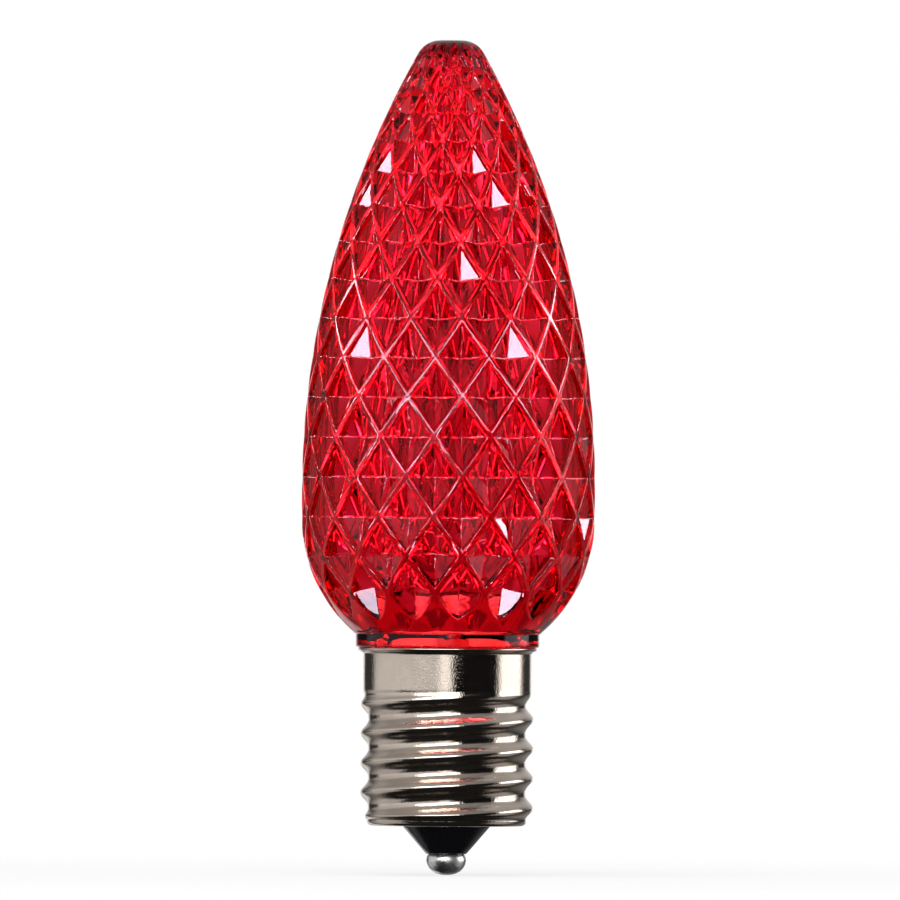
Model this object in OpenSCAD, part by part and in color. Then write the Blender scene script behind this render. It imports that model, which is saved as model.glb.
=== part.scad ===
/* [Lens] */
// Largest radius of the faceted lens
lens_r = 14; // [12.5:0.1:15]
// Height of the bowl, from the collar up to the belt
bowl_h = 10.9; // [9.5:0.1:13]
// Height of the straight belt where the lens is widest
belt_h = 2.8; // [1.5:0.1:5]
// Height of the pointed part, from the belt to the top
crown_h = 42.7; // [36:0.1:46]
// Radius of the rounded tip
tip_r = 2.4; // [2:0.1:3]
// Radius of the small flat on top of the tip
tip_flat_r = 1.04; // [0.6:0.02:1.4]
// Radius of the lens where the bowl meets the collar
bowl_r = 8.95; // [8.9:0.05:9.6]
// Thickness of the moulded wall, measured from the bands
lens_wall = 2.3; // [2:0.1:2.8]
// How far the collar stands in from the bowl
collar_in = 0.19; // [0.1:0.01:0.3]
// Height of the collar
collar_h = 1.4; // [1:0.1:2.4]
// Depth of the neck that plugs into the shell
neck_h = 2.9; // [2.6:0.1:3.1]
// Thickness of the neck wall
neck_wall = 1.0; // [0.8:0.1:1.4]
// Width of the ledge in the neck that the circuit board rests on
ledge_w = 0.6; // [0.4:0.1:0.8]
// Number of snap ribs that hold the board down on its ledge
rib_count = 6; // [3:1:8]
// Width of one snap rib
rib_w = 1.0; // [0.6:0.1:1.4]
// How far a snap rib stands in from the neck bore
rib_depth = 0.4; // [0.3:0.05:0.6]

/* [Facets] */
// Number of cells around the lens
cells_around = 16; // [12:1:18]
// Distance from the collar up to the bottom point of the lowest cells
first_row = 1.35; // [1.1:0.05:1.6]
// Distance between rows on the belt
row_pitch = 3.83; // [3.6:0.01:4.2]
// How late the rows close up towards the tip
row_taper = 2; // [1.8:0.05:2.4]
// Plain length left above the last row
cap_len = 0.5; // [0.4:0.05:0.8]
// Width of the smooth bands between the cells, on the belt
band_w = 0.75; // [0.5:0.05:0.9]
// Depth of the steep wall at a cell's edge
edge_d = 0.35; // [0.2:0.05:0.5]
// How far that wall leans in
edge_lean = 0.1; // [0.05:0.01:0.15]
// Depth of a cell at its middle
cell_d = 1.45; // [1.1:0.05:1.6]
// How far the side of a lowest cell bulges beyond a straight line
petal_bulge = 0.55; // [0.3:0.05:0.8]
// Turn of the pattern about the axis, in degrees
pattern_turn = 5.5; // [0:0.5:22]

/* [Screw shell] */
// Outer radius of the plain skirt
skirt_r = 8.03; // [7.9:0.01:8.2]
// Height of the plain skirt
skirt_h = 3.55; // [3.3:0.05:4.5]
// Thickness of the pressed sheet
sheet_t = 0.35; // [0.3:0.05:0.45]
// How far the lip under the collar flares out from the skirt
lip_flare = 0.52; // [0.4:0.02:0.65]
// Height of the flared lip
lip_h = 0.45; // [0.4:0.05:0.7]
// Outer radius at the crest of the thread
crest_r = 8.24; // [8.1:0.01:8.3]
// Outer radius at the root of the thread
root_r = 7.52; // [7.4:0.01:7.7]
// Rise of the thread in one turn: 9 threads to the inch
thread_pitch = 2.822; // [2.6:0.001:3]
// Height of the threaded part
thread_h = 12.45; // [11:0.05:14]
// Height over which the thread dies out under the skirt
fade_h = 1.6; // [0.8:0.1:2.4]
// Height over which the thread runs out into the foot
run_out_h = 0.5; // [0.4:0.1:0.8]
// Height of the rounded edge that closes the bottom of the shell
foot_h = 0.55; // [0.5:0.05:1]
// Height of the thread's crest on the right side, above the bottom of the shell
crest_z = 1.7; // [1:0.1:2.4]

/* [Contact end] */
// Radius of the black insulator where it leaves the shell
cone_top_r = 4.2; // [3.8:0.1:4.8]
// How far the tip of the insulator stands out past the solder
cone_tip_step = 0.05; // [0.02:0.01:0.15]
// Height of the insulator cone below the shell
cone_h = 2.7; // [2:0.1:4]
// Thickness of the insulator plug inside the shell
plug_h = 1.6; // [1.2:0.1:2.5]
// Radius of the solder dome at the tip
solder_r = 1.9; // [1.7:0.05:2.1]
// Height of the solder dome
solder_h = 2.0; // [1.6:0.1:2.6]
// Outer radius of the contact eyelet's tube
eyelet_r = 0.9; // [0.8:0.05:1.1]
// Thickness of the eyelet's metal
eyelet_t = 0.2; // [0.15:0.05:0.3]
// How much of the solder dome lies outside the eyelet's flange
flange_cover = 0.3; // [0.2:0.05:0.4]

/* [Electronics] */
// Thickness of the circuit board
board_t = 1.0; // [0.6:0.1:1.6]
// Distance from the edge of the board to the outer lamps
board_edge = 1.2; // [1:0.1:1.3]
// Length of one surface-mount lamp
led_l = 2.8; // [2.4:0.1:3]
// Width of one surface-mount lamp
led_w = 2.8; // [2.4:0.1:3]
// Height of one surface-mount lamp
led_h = 0.8; // [0.6:0.1:1.2]
// Length of the bridge rectifier
bridge_l = 4.7; // [4:0.1:5]
// Width of the bridge rectifier
bridge_w = 3.8; // [3.4:0.1:4]
// Height of the bridge rectifier
bridge_h = 1.6; // [1.4:0.1:2.5]
// Length of a dropper resistor
resistor_l = 3.2; // [3:0.1:3.4]
// Width of a dropper resistor
resistor_w = 1.6; // [1.2:0.1:1.8]
// Height of a dropper resistor
resistor_h = 0.6; // [0.4:0.1:0.8]
// Radius of the smoothing capacitor
capacitor_r = 2.5; // [2:0.1:2.5]
// Length of the smoothing capacitor
capacitor_l = 5.4; // [5:0.1:7]
// Outer radius of the insulated leads
lead_r = 0.4; // [0.3:0.05:0.5]
// Room between the parts under the board and the neck bore
part_edge = 0.7; // [0.6:0.05:0.9]

/* [Fits] */
// Gap between the neck of the lens and the bore of the shell
neck_gap = 0.05; // [0.02:0.01:0.1]
// Gap between the board and the bore of the neck
board_gap = 0.1; // [0.05:0.05:0.2]
// Gap between the insulator and the shell
plug_gap = 0.1; // [0.05:0.05:0.2]
// Gap between the solder in the skirt and the neck of the lens
solder_gap = 0.05; // [0.02:0.01:0.1]

/* [Hidden] */
$fn = 96;

// Heights of the stack, from the lowest point of the contact upwards
shell_z = solder_h + cone_h;
thread_z = shell_z + foot_h;
skirt_z = thread_z + thread_h;
lip_z = skirt_z + skirt_h;
collar_z = lip_z + lip_h;
bowl_z = collar_z + collar_h;
belt_z = bowl_z + bowl_h;
crown_z = belt_z + belt_h;
top_z = crown_z + crown_h;
neck_z = collar_z - neck_h;

// Radii that follow from the pieces they fit
bore_r = skirt_r - sheet_t;
neck_r = bore_r - neck_gap;
neck_bore_r = neck_r - neck_wall;
ledge_r = neck_bore_r - ledge_w;
board_r = neck_bore_r - board_gap;
collar_r = bowl_r - collar_in;
lip_r = skirt_r + lip_flare;
foot_r = root_r + 0.1;

// The board lies on its ledge under the collar
rib_h = 0.9;
board_z = collar_z - board_t;
board_top = board_z + board_t;

// Amounts by which joined solids run into each other
lap = 0.25;
eps = 0.02;

// Outline of the lens: two arcs with the belt between them, and the rounded tip
bowl_arc = ((lens_r - bowl_r) ^ 2 + bowl_h ^ 2) / (2 * (lens_r - bowl_r));
bowl_angle = asin(bowl_h / bowl_arc);
tip_rise = crown_h - tip_r;
crown_arc = (tip_rise ^ 2 + (lens_r - tip_flat_r) ^ 2 - tip_r ^ 2)
    / (2 * (lens_r - tip_flat_r - tip_r));
crown_angle = atan2(tip_rise, tip_flat_r - lens_r + crown_arc);
bowl_len = bowl_arc * bowl_angle * PI / 180;
crown_len = crown_arc * crown_angle * PI / 180;
tip_len = tip_r * (90 - crown_angle) * PI / 180;
outline_len = bowl_len + belt_h + crown_len + tip_len;

// Radius and height of the lens outline at a distance s up it, moved inwards by the depth d
function arc_point(x, z, arc, angle, d) =
    [x + (arc - d) * cos(angle), z + (arc - d) * sin(angle)];
function turned(s, arc) = s / arc * 180 / PI;
function crown_point(s, d) = s < crown_len
    ? arc_point(lens_r - crown_arc, crown_z, crown_arc, turned(s, crown_arc), d)
    : arc_point(tip_flat_r, top_z - tip_r, tip_r,
        min(90, crown_angle + turned(s - crown_len, tip_r)), d);
function lens_at(s, d = 0) =
    s < bowl_len
    ? arc_point(lens_r - bowl_arc, belt_z, bowl_arc, turned(s, bowl_arc) - bowl_angle, d)
    : s < bowl_len + belt_h
    ? [lens_r - d, belt_z + s - bowl_len]
    : crown_point(s - bowl_len - belt_h, d);

// A point on the lens at the distance s up it and the angle a round it
function on_lens(s, a, d = 0) =
    let (p = lens_at(s, d)) [p[0] * sin(a), -p[0] * cos(a), p[1]];

// The cells shrink with the lens: full size on the belt, smaller towards the tip
function shrink(s) = 1 - (1 - lens_at(s)[0] / lens_r) ^ row_taper;
function add_rows(list) =
    let (next = list[len(list) - 1] + row_pitch * shrink(list[len(list) - 1]))
    next > outline_len - cap_len ? list : add_rows(concat(list, [next]));
row_s = add_rows([first_row]);
cell_rows = len(row_s) - 2;
half_cell = 180 / cells_around;

// The shape of the cell in row k and column j, as distances up the lens and angles
// round it. Each corner stands back from the lattice lines by half a band. The lowest
// cells have a point more on each lower side, where they bulge like petals.
function cell_angle(k, j) = pattern_turn + half_cell * (2 * j + (k % 2 == 0 ? 1 : 0));
function half_width(k) = lens_at(row_s[k])[0] * half_cell * PI / 180;
function stand_back(k) = band_w / 2 * shrink(row_s[k]);
function corner(k, j, up, extra) =
    let (h = abs(row_s[k + up] - row_s[k]), b = half_width(k))
    [row_s[k + up] - up * (stand_back(k) + extra) * norm([b, h]) / b, cell_angle(k, j)];
function side(k, j, way, extra) =
    let (h = row_s[k + 1] - row_s[k], b = half_width(k))
    [row_s[k], cell_angle(k, j)
        + way * half_cell * (1 - (stand_back(k) + extra) * norm([b, h]) / h / b)];
function petal(k, j, way, extra) =
    let (foot = corner(k, j, -1, extra), out = side(k, j, way, extra),
        swing = petal_bulge / lens_at(row_s[k])[0] * 180 / PI)
    (foot + out) / 2 + [-petal_bulge / 2, way * swing];
function cell_ring(k, j, extra) = k == 1
    ? [corner(k, j, -1, extra), petal(k, j, 1, extra), side(k, j, 1, extra),
        corner(k, j, 1, extra), side(k, j, -1, extra), petal(k, j, -1, extra)]
    : [corner(k, j, -1, extra), side(k, j, 1, extra),
        corner(k, j, 1, extra), side(k, j, -1, extra)];

// Points of one cell: its outline, the foot of its steep edge, and its deepest point
function cell_points(k, j) = concat(
    [for (p = cell_ring(k, j, 0)) on_lens(p[0], p[1])],
    [for (p = cell_ring(k, j, edge_lean * shrink(row_s[k])))
        on_lens(p[0], p[1], edge_d * shrink(row_s[k]))],
    [on_lens(row_s[k], cell_angle(k, j), cell_d * shrink(row_s[k]))]);

// Where the points stand in the list: a cell has twice its corners and one point more
function corners(k) = k == 1 ? 6 : 4;
petal_points = 2 * corners(1) + 1;
diamond_points = 2 * corners(2) + 1;
function first(k, j) =
    let (m = (j + cells_around) % cells_around)
    k == 1 ? m * petal_points
    : cells_around * (petal_points + (k - 2) * diamond_points) + m * diamond_points;
function low(k, j) = first(k, j);
function right(k, j) = first(k, j) + corners(k) / 2 - 1;
function top(k, j) = right(k, j) + 1;
function left(k, j) = right(k, j) + 2;
function next_right(k, j) = k % 2 == 1 ? j : j + 1;

// Steep edge and facets of one cell
function cell_faces(k, j) =
    let (n = corners(k), f = first(k, j))
    concat(
        [for (i = [0 : n - 1]) let (m = (i + 1) % n) each
            [[f + i, f + m, f + n + m], [f + i, f + n + m, f + n + i]]],
        [for (i = [0 : n - 1]) [f + n + i, f + n + (i + 1) % n, f + 2 * n]]);

// Bands from a cell to the two cells above it, and the crossing at its right corner
function band_faces(k, j) =
    let (r = next_right(k, j), l = r - 1)
    [[right(k, j), low(k + 1, r), left(k + 1, r)],
        [right(k, j), left(k + 1, r), top(k, j)],
        [left(k, j), top(k, j), right(k + 1, l)],
        [left(k, j), right(k + 1, l), low(k + 1, l)]];
function crossing_faces(k, j) =
    let (a = right(k, j), c = left(k, j + 1))
    concat(
        k > 1 ? [[a, top(k - 1, next_right(k, j)), c]] : [],
        k < cell_rows ? [[a, c, low(k + 1, next_right(k, j))]] : []);

// Plain surface below the lowest cells, and the cap above the top ones
rim = cells_around * (petal_points + (cell_rows - 1) * diamond_points);
cap = rim + 2 * cells_around;
pole = cap + cells_around;
function rim_point(j) = rim + (j + 2 * cells_around) % (2 * cells_around);
function rim_faces(j) =
    let (f = first(1, j),
        c = rim_point(2 * j), d = rim_point(2 * j + 1), e = rim_point(2 * j - 1))
    [[e, f + 5, left(1, j)], [e, c, f + 5], [c, f, f + 5], [c, f + 1, f],
        [c, d, f + 1], [d, right(1, j), f + 1], [d, left(1, j + 1), right(1, j)]];
function cap_faces(j) =
    let (k = cell_rows, e = cap + j, g = cap + (j + 1) % cells_around)
    [[top(k, j), right(k, j), e], [right(k, j), left(k, j + 1), e],
        [left(k, j + 1), top(k, j + 1), e], [top(k, j + 1), g, e], [e, g, pole]];

lens_points = concat(
    [for (k = [1 : cell_rows], j = [0 : cells_around - 1]) each cell_points(k, j)],
    [for (i = [0 : 2 * cells_around - 1]) on_lens(0, pattern_turn + half_cell * i)],
    [for (j = [0 : cells_around - 1]) on_lens(outline_len, cell_angle(cell_rows, j))],
    [[0, 0, top_z]]);
lens_faces = concat(
    [for (k = [1 : cell_rows], j = [0 : cells_around - 1]) each
        concat(cell_faces(k, j), crossing_faces(k, j),
            k < cell_rows ? band_faces(k, j) : [])],
    [for (j = [0 : cells_around - 1]) each concat(rim_faces(j), cap_faces(j))],
    [[for (i = [2 * cells_around - 1 : -1 : 0]) rim + i]]);

function flipped(faces) = [for (f = faces) [for (i = [len(f) - 1 : -1 : 0]) f[i]]];

// Inside of the lens: the outline at the depth of the wall, then the neck bore
cavity_steps = 28;
cavity_start = 1.2;
module lens_cavity() {
    span = outline_len - cavity_start;
    rotate_extrude()
        polygon(concat(
            [[0, board_top - eps], [neck_bore_r, board_top - eps]],
            [for (i = [0 : cavity_steps]) let (
                p = lens_at(cavity_start + span * i / cavity_steps, lens_wall))
                [max(p[0], 0.2), p[1]]],
            [[0, top_z - lens_wall]]));
}

module lens() {
    color("crimson") union() {
        difference() {
            union() {
                polyhedron(points = lens_points, faces = flipped(lens_faces));
                translate([0, 0, collar_z]) cylinder(r = collar_r, h = collar_h + lap);
                translate([0, 0, neck_z]) cylinder(r = neck_r, h = neck_h + lap);
            }
            lens_cavity();
            translate([0, 0, board_z]) cylinder(r = neck_bore_r, h = board_t + eps);
            translate([0, 0, neck_z - 1]) cylinder(r = ledge_r, h = neck_h + 1);
        }
        for (i = [0 : rib_count - 1])
            rotate([0, 0, pattern_turn - 90 + i * 360 / rib_count])
                translate([neck_bore_r - rib_depth, -rib_w / 2, board_top])
                    cube([rib_depth + lap, rib_w, rib_h]);
    }
}

// Helical sheet: its points stand in columns round the shell. Row q of a column lies a
// fixed part of the pitch above row q - 1, and all rows climb with the thread.
thread_sides = 40;
rows_per_turn = 6;
joint_step = 0.05;
thread_wall = sheet_t - 2 * joint_step;
thread_top = skirt_z + lap;
thread_low = thread_z - lap;
turn_count = ceil((thread_top - thread_low) / thread_pitch) + 1;
thread_rows = turn_count * rows_per_turn;
function smooth(t) = let (u = min(1, max(0, t))) u * u * (3 - 2 * u);
function thread_height(i, q) =
    thread_low + thread_pitch * (i / thread_sides - 1 + q / rows_per_turn);
function in_thread(z) = min(thread_top, max(thread_low, z));
function thread_radius(a, z) =
    let (phase = 360 * (z - shell_z - crest_z) / thread_pitch - a,
        wave = root_r + (crest_r - root_r) * ((1 + cos(phase)) / 2) ^ 1.5,
        up = smooth((z - skirt_z + fade_h) / fade_h),
        down = smooth((thread_z + run_out_h - z) / run_out_h))
    (wave * (1 - up) + (skirt_r - joint_step) * up) * (1 - down)
        + (foot_r - joint_step) * down;
lowest_row = [for (i = [0 : thread_sides - 1])
    max([for (q = [0 : thread_rows]) if (thread_height(i, q) <= thread_low) q])];
highest_row = [for (i = [0 : thread_sides - 1])
    min([for (q = [0 : thread_rows]) if (thread_height(i, q) >= thread_top) q])];
function thread_index(i, q) =
    let (wraps = i == thread_sides, c = wraps ? 0 : i,
        row = wraps ? q + rows_per_turn : q)
    c * (thread_rows + 1) + min(highest_row[c], max(lowest_row[c], row));
inner_start = thread_sides * (thread_rows + 1);
function real_faces(faces) =
    [for (f = faces) if (f[0] != f[1] && f[1] != f[2] && f[2] != f[0]) f];
function sheet_faces(i, q) =
    let (a = thread_index(i, q), b = thread_index(i + 1, q), n = inner_start,
        c = thread_index(i + 1, q + 1), d = thread_index(i, q + 1))
    [[a, c, b], [a, d, c], [a + n, b + n, c + n], [a + n, c + n, d + n]];
function edge_faces(i, q, way) =
    let (a = thread_index(i, q), b = thread_index(i + 1, q), n = inner_start)
    way > 0 ? [[a, b + n, b], [a, a + n, b + n]] : [[a, b, b + n], [a, b + n, a + n]];

module thread_sheet() {
    points = [for (inner = [0, 1], i = [0 : thread_sides - 1], q = [0 : thread_rows])
        let (a = i * 360 / thread_sides, z = in_thread(thread_height(i, q)),
            r = thread_radius(a, z) - inner * thread_wall)
        [r * cos(a), r * sin(a), z]];
    faces = concat(
        [for (i = [0 : thread_sides - 1], q = [0 : thread_rows - 1]) each sheet_faces(i, q)],
        [for (i = [0 : thread_sides - 1]) each
            concat(edge_faces(i, thread_rows, 1), edge_faces(i, 0, -1))]);
    polyhedron(points = points, faces = real_faces(faces));
}

// Plain skirt and flared lip, turned from one outline
module skirt() {
    rotate_extrude()
        polygon([
            [bore_r, skirt_z], [skirt_r, skirt_z], [skirt_r, lip_z],
            [lip_r, collar_z - sheet_t / 2], [lip_r, collar_z],
            [lip_r - sheet_t, collar_z], [bore_r, lip_z + sheet_t / 2]
        ]);
}

// Rounded edge turned in under the thread, open in the middle for the insulator
module shell_foot() {
    outer_round = foot_h - joint_step;
    inner_round = outer_round - sheet_t;
    round_steps = 8;
    rotate_extrude()
        polygon(concat(
            [[foot_r - sheet_t, thread_z], [foot_r, thread_z]],
            [for (i = [0 : round_steps]) let (a = 90 * i / round_steps)
                [foot_r - outer_round + outer_round * cos(a),
                    shell_z + outer_round - outer_round * sin(a)]],
            [[foot_hole_r, shell_z], [foot_hole_r, shell_z + sheet_t]],
            [for (i = [round_steps : -1 : 0]) let (a = 90 * i / round_steps)
                [foot_r - outer_round + inner_round * cos(a),
                    shell_z + outer_round - inner_round * sin(a)]]));
}

module screw_shell() {
    color("gainsboro") union() {
        skirt();
        thread_sheet();
        shell_foot();
    }
}

// Black cone with a plug that rests on the bottom of the shell
cone_tip_r = solder_r + cone_tip_step;
foot_hole_r = cone_top_r + plug_gap;
plug_z = shell_z + sheet_t;
plug_top = plug_z + plug_h;
plug_r = foot_r - sheet_t - plug_gap;
plug_chamfer = 0.4;
module insulator() {
    color([0.05, 0.05, 0.05]) rotate_extrude()
        polygon([
            [eyelet_r, solder_h], [cone_tip_r, solder_h], [cone_top_r, shell_z],
            [cone_top_r, plug_z], [plug_r - plug_chamfer, plug_z],
            [plug_r, plug_z + plug_chamfer], [plug_r, plug_top - plug_chamfer],
            [plug_r - plug_chamfer, plug_top], [eyelet_r, plug_top]
        ]);
}

// Hollow rivet through the insulator: flange below, clinched rim above
flange_r = solder_r - flange_cover;
clinch_r = 1.4 * eyelet_r;
module contact_eyelet() {
    inner = eyelet_r - eyelet_t;
    color("goldenrod") rotate_extrude()
        polygon([
            [inner, solder_h - eyelet_t], [flange_r, solder_h - eyelet_t], [flange_r, solder_h],
            [eyelet_r, solder_h], [eyelet_r, plug_top], [clinch_r, plug_top],
            [clinch_r, plug_top + eyelet_t], [inner, plug_top + eyelet_t]
        ]);
}

// Solder dome that covers the flange and fills the foot of the eyelet
fill_h = 0.5;
module tip_solder() {
    dome_h = 0.68 * solder_h;
    dome_steps = 12;
    color("silver") rotate_extrude()
        polygon(concat(
            [for (i = [0 : dome_steps]) let (a = 90 * i / dome_steps)
                [solder_r * sin(a), dome_h * (1 - cos(a))]],
            [[solder_r, solder_h], [flange_r, solder_h], [flange_r, solder_h - eyelet_t],
                [eyelet_r - eyelet_t, solder_h - eyelet_t],
                [eyelet_r - eyelet_t, solder_h + fill_h], [0, solder_h + fill_h]]));
}

module circuit_board() {
    color("whitesmoke") translate([0, 0, board_z]) cylinder(r = board_r, h = board_t);
}

// One surface-mount lamp: a square package with a round window
module led(i) {
    window_r = 0.38 * led_w;
    window_d = 0.15;
    place = i == 1 ? [0, 0, 0] : [board_r - board_edge - led_l / 2, 0, 0];
    color("linen") rotate([0, 0, pattern_turn + (i - 2) * 90]) translate(place)
        translate([0, 0, board_top]) difference() {
            translate([-led_l / 2, -led_w / 2, 0]) cube([led_l, led_w, led_h]);
            translate([0, 0, led_h - window_d]) cylinder(r = window_r, h = window_d + eps);
        }
}

// How far from the axis a part under the board may lie: it reaches from -a to a one way
// and is b wide the other way, inside the neck bore
part_reach = ledge_r - part_edge;
function seat(a, b) = sqrt(part_reach ^ 2 - a ^ 2) - b / 2;

// Bridge rectifier under the board: a body on four flat legs
bridge_x = -seat(bridge_l / 2, bridge_w);
module bridge_rectifier() {
    leg_w = 0.6;
    leg_t = 0.25;
    gap = 0.1;
    color([0.12, 0.12, 0.12]) translate([bridge_x, 0, board_z - gap - bridge_h]) union() {
        translate([-bridge_w / 2, -bridge_l / 2 + leg_t, 0])
            cube([bridge_w, bridge_l - 2 * leg_t, bridge_h]);
        for (x = [-1, 1], y = [-1, 1])
            translate([x * bridge_w * 0.32 - leg_w / 2, y * (bridge_l - leg_t) / 2 - leg_t / 2,
                bridge_h / 2])
                cube([leg_w, leg_t, bridge_h / 2 + gap]);
        for (x = [-1, 1], y = [-1, 1])
            translate([x * bridge_w * 0.32 - leg_w / 2, y * (bridge_l / 2 - leg_t) - leg_t,
                bridge_h / 2])
                cube([leg_w, 2 * leg_t, leg_t]);
    }
}

// Chip resistor under the board: a ceramic block with two end caps
module dropper_resistor(place) {
    cap_l = 0.5;
    rim = 0.04;
    color([0.2, 0.2, 0.25]) translate([place[0], place[1], board_z - resistor_h]) union() {
        translate([-resistor_l / 2, -resistor_w / 2, rim])
            cube([resistor_l, resistor_w, resistor_h - rim]);
        for (way = [-1, 1])
            translate([way * (resistor_l - cap_l) / 2 - cap_l / 2, -resistor_w / 2 - rim, 0])
                cube([cap_l, resistor_w + 2 * rim, resistor_h]);
    }
}
module resistor_1() dropper_resistor([0.9, -seat(resistor_l / 2 + 0.9, resistor_w)]);
module resistor_2() dropper_resistor([0.2, seat(resistor_l / 2 + 0.2, resistor_w)]);

// Small can under the board, with a crimp near its open end
capacitor_at = [part_reach - capacitor_r, 0.7];
module smoothing_capacitor() {
    edge = 0.35;
    crimp_z = 1.2;
    crimp = 0.25;
    color([0.15, 0.2, 0.45])
        translate([capacitor_at[0], capacitor_at[1], board_z - capacitor_l]) rotate_extrude()
            polygon([
                [0, 0], [capacitor_r - edge, 0], [capacitor_r, edge],
                [capacitor_r, capacitor_l - crimp_z - crimp],
                [capacitor_r - crimp, capacitor_l - crimp_z],
                [capacitor_r, capacitor_l - crimp_z + crimp],
                [capacitor_r, capacitor_l - edge / 2], [capacitor_r - edge / 2, capacitor_l],
                [0, capacitor_l]
            ]);
}

// Insulated lead swept along a route that lies in one upright plane through the axis:
// each point is its distance from the axis and its height
lead_sides = 10;
function unit(v) = v / norm(v);
module lead(route, turn) {
    last = len(route) - 1;
    points = [for (i = [0 : last], m = [0 : lead_sides - 1])
        let (way = unit(route[min(i + 1, last)] - route[max(i - 1, 0)]),
            a = 360 * m / lead_sides,
            u = route[i][0] - way[1] * lead_r * cos(a),
            z = route[i][1] + way[0] * lead_r * cos(a))
        [u, lead_r * sin(a), z]];
    faces = concat(
        [[for (m = [0 : lead_sides - 1]) m]],
        [for (i = [0 : last - 1], m = [0 : lead_sides - 1])
            let (n = (m + 1) % lead_sides, f = i * lead_sides)
            [f + m, f + lead_sides + m, f + lead_sides + n, f + n]],
        [[for (m = [lead_sides - 1 : -1 : 0]) last * lead_sides + m]]);
    rotate([0, 0, turn]) polyhedron(points = points, faces = faces);
}

// From the board down through the eyelet to the solder at the tip
live_at = [0.35, -2.35];
module live_lead() {
    u = norm(live_at);
    rivet_z = plug_top + eyelet_t;
    drop = board_z - rivet_z;
    color("red") lead([
        [u, board_z], [u, board_z - drop * 0.35], [u * 0.93, board_z - drop * 0.5],
        [u * 0.5, board_z - drop * 0.68], [u * 0.07, board_z - drop * 0.86],
        [0, rivet_z + drop * 0.04], [0, solder_h + fill_h]
    ], atan2(live_at[1], live_at[0]));
}

// From the board down past the neck and out to the inside of the skirt
neutral_turn = -123;
neutral_r = part_reach - lead_r;
solder_z = (skirt_z + neck_z) / 2;
shell_solder_r = (neck_z - skirt_z) / 2 - solder_gap;
solder_face = bore_r - shell_solder_r;
module neutral_lead() {
    u = neutral_r;
    way = solder_face - u;
    color("white") lead([
        [u, board_z], [u, solder_z + way * 0.5], [u + way * 0.07, solder_z + way * 0.25],
        [u + way * 0.3, solder_z + way * 0.05], [u + way * 0.6, solder_z],
        [solder_face, solder_z]
    ], neutral_turn);
}

// Solder that joins the neutral lead to the bore of the skirt
module shell_solder() {
    color("silver") rotate([0, 0, neutral_turn])
        intersection() {
            translate([bore_r - shell_solder_r / 2, 0, solder_z])
                sphere(r = shell_solder_r, $fn = 48);
            translate([solder_face, -2, solder_z - 2]) cube([4, 4, 4]);
            translate([0, 0, solder_z - 2]) cylinder(r = bore_r, h = 4);
        }
}

lens();
screw_shell();
insulator();
contact_eyelet();
tip_solder();
circuit_board();
led(1);  // led_1
led(2);  // led_2
led(3);  // led_3
led(4);  // led_4
led(5);  // led_5
bridge_rectifier();
resistor_1();
resistor_2();
smoothing_capacitor();
live_lead();
neutral_lead();
shell_solder();
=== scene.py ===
"""Faceted red retrofit lamp on a nickel-plated screw base, in metres, +Z up its axis."""

import math

import bmesh
import bpy
import numpy as np
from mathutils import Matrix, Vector


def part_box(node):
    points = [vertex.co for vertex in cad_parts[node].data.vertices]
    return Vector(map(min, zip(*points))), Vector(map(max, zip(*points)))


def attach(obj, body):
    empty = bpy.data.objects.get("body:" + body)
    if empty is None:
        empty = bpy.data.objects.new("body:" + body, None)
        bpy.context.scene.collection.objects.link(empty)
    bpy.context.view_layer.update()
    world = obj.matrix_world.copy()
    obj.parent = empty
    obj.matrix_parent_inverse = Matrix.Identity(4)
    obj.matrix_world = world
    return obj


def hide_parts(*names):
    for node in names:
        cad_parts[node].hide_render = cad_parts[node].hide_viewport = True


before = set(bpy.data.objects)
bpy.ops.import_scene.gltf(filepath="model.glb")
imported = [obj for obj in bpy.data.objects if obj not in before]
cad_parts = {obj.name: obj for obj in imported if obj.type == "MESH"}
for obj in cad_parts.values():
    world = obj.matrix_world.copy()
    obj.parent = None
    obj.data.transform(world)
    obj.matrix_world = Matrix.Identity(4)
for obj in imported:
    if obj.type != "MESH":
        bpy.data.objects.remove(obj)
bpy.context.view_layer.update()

MM = 0.001
PHOTO_SIDE = 900          # the photograph's side in pixels
PIXELS_PER_MM = 10.5      # the bulb's scale in it

# Heights and radii of the lens, in millimetres. The frame gives the overall ones.
lens_low, lens_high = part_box("lens")
shell_low, shell_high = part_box("screw_shell")
TOP_Z = lens_high.z / MM
NECK_Z = lens_low.z / MM
COLLAR_Z = shell_high.z / MM
LEDGE_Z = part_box("circuit_board")[0].z / MM
LENS_R = 13.96
BOWL_R = 8.95
COLLAR_R = 8.76
COLLAR_H = 1.4
BOWL_H = 10.9
BELT_H = 2.8
TIP_R = 2.4
TIP_FLAT_R = 1.04
LENS_WALL = 2.3
NECK_R = 7.63
NECK_BORE_R = 6.63
LEDGE_R = 6.03
BOWL_Z = COLLAR_Z + COLLAR_H
BELT_Z = BOWL_Z + BOWL_H
CROWN_Z = BELT_Z + BELT_H
CROWN_H = TOP_Z - CROWN_Z

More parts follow.
